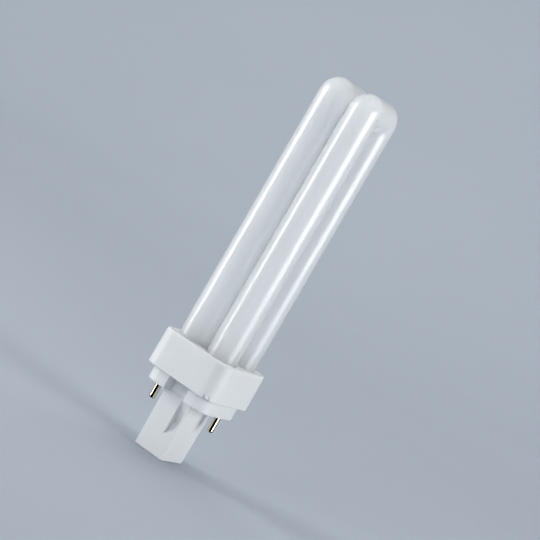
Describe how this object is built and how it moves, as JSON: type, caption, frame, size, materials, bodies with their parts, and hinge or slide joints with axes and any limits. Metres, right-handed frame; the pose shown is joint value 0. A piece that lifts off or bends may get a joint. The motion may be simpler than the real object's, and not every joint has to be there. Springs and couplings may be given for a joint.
{
  "type": "compact fluorescent bulb",
  "caption": "Plug-in compact fluorescent bulb with white coated glass U tubes, a square moulded cap, a long notched post that holds the starter, and plated contact pins.",
  "frame": {"origin": "on the bulb's axis in the seating plane, the underside of the cap's shoulders where the contact pins come out", "axes": "+Z along the bulb's axis towards the glass bends; X across the two U tubes; Y across the legs of each U tube, with the picture's nearer notch on the -Y side"},
  "size_m": [0.0324, 0.0334, 0.153],
  "materials": {
    "coated_glass": "clear glossy glass over an opaque white coating",
    "cap_plastic": "satin moulded white",
    "cement": "matt",
    "pin_metal": "bright plated",
    "starter_glass": "clear",
    "capacitor_coat": "dipped resin",
    "lead_wire": "bare wire"
  },
  "bodies": {
    "root": {"discharge_tube": "coated_glass", "tube_holder": "cap_plastic", "cap_base": "cap_plastic", "tube_cement": "cement", "contact_pin_1": "pin_metal", "contact_pin_2": "pin_metal", "starter_bulb": "starter_glass", "starter_capacitor": "capacitor_coat", "pin_lead_1": "lead_wire", "pin_lead_2": "lead_wire", "starter_lead_1": "lead_wire", "starter_lead_2": "lead_wire"}
  },
  "joints": []
}
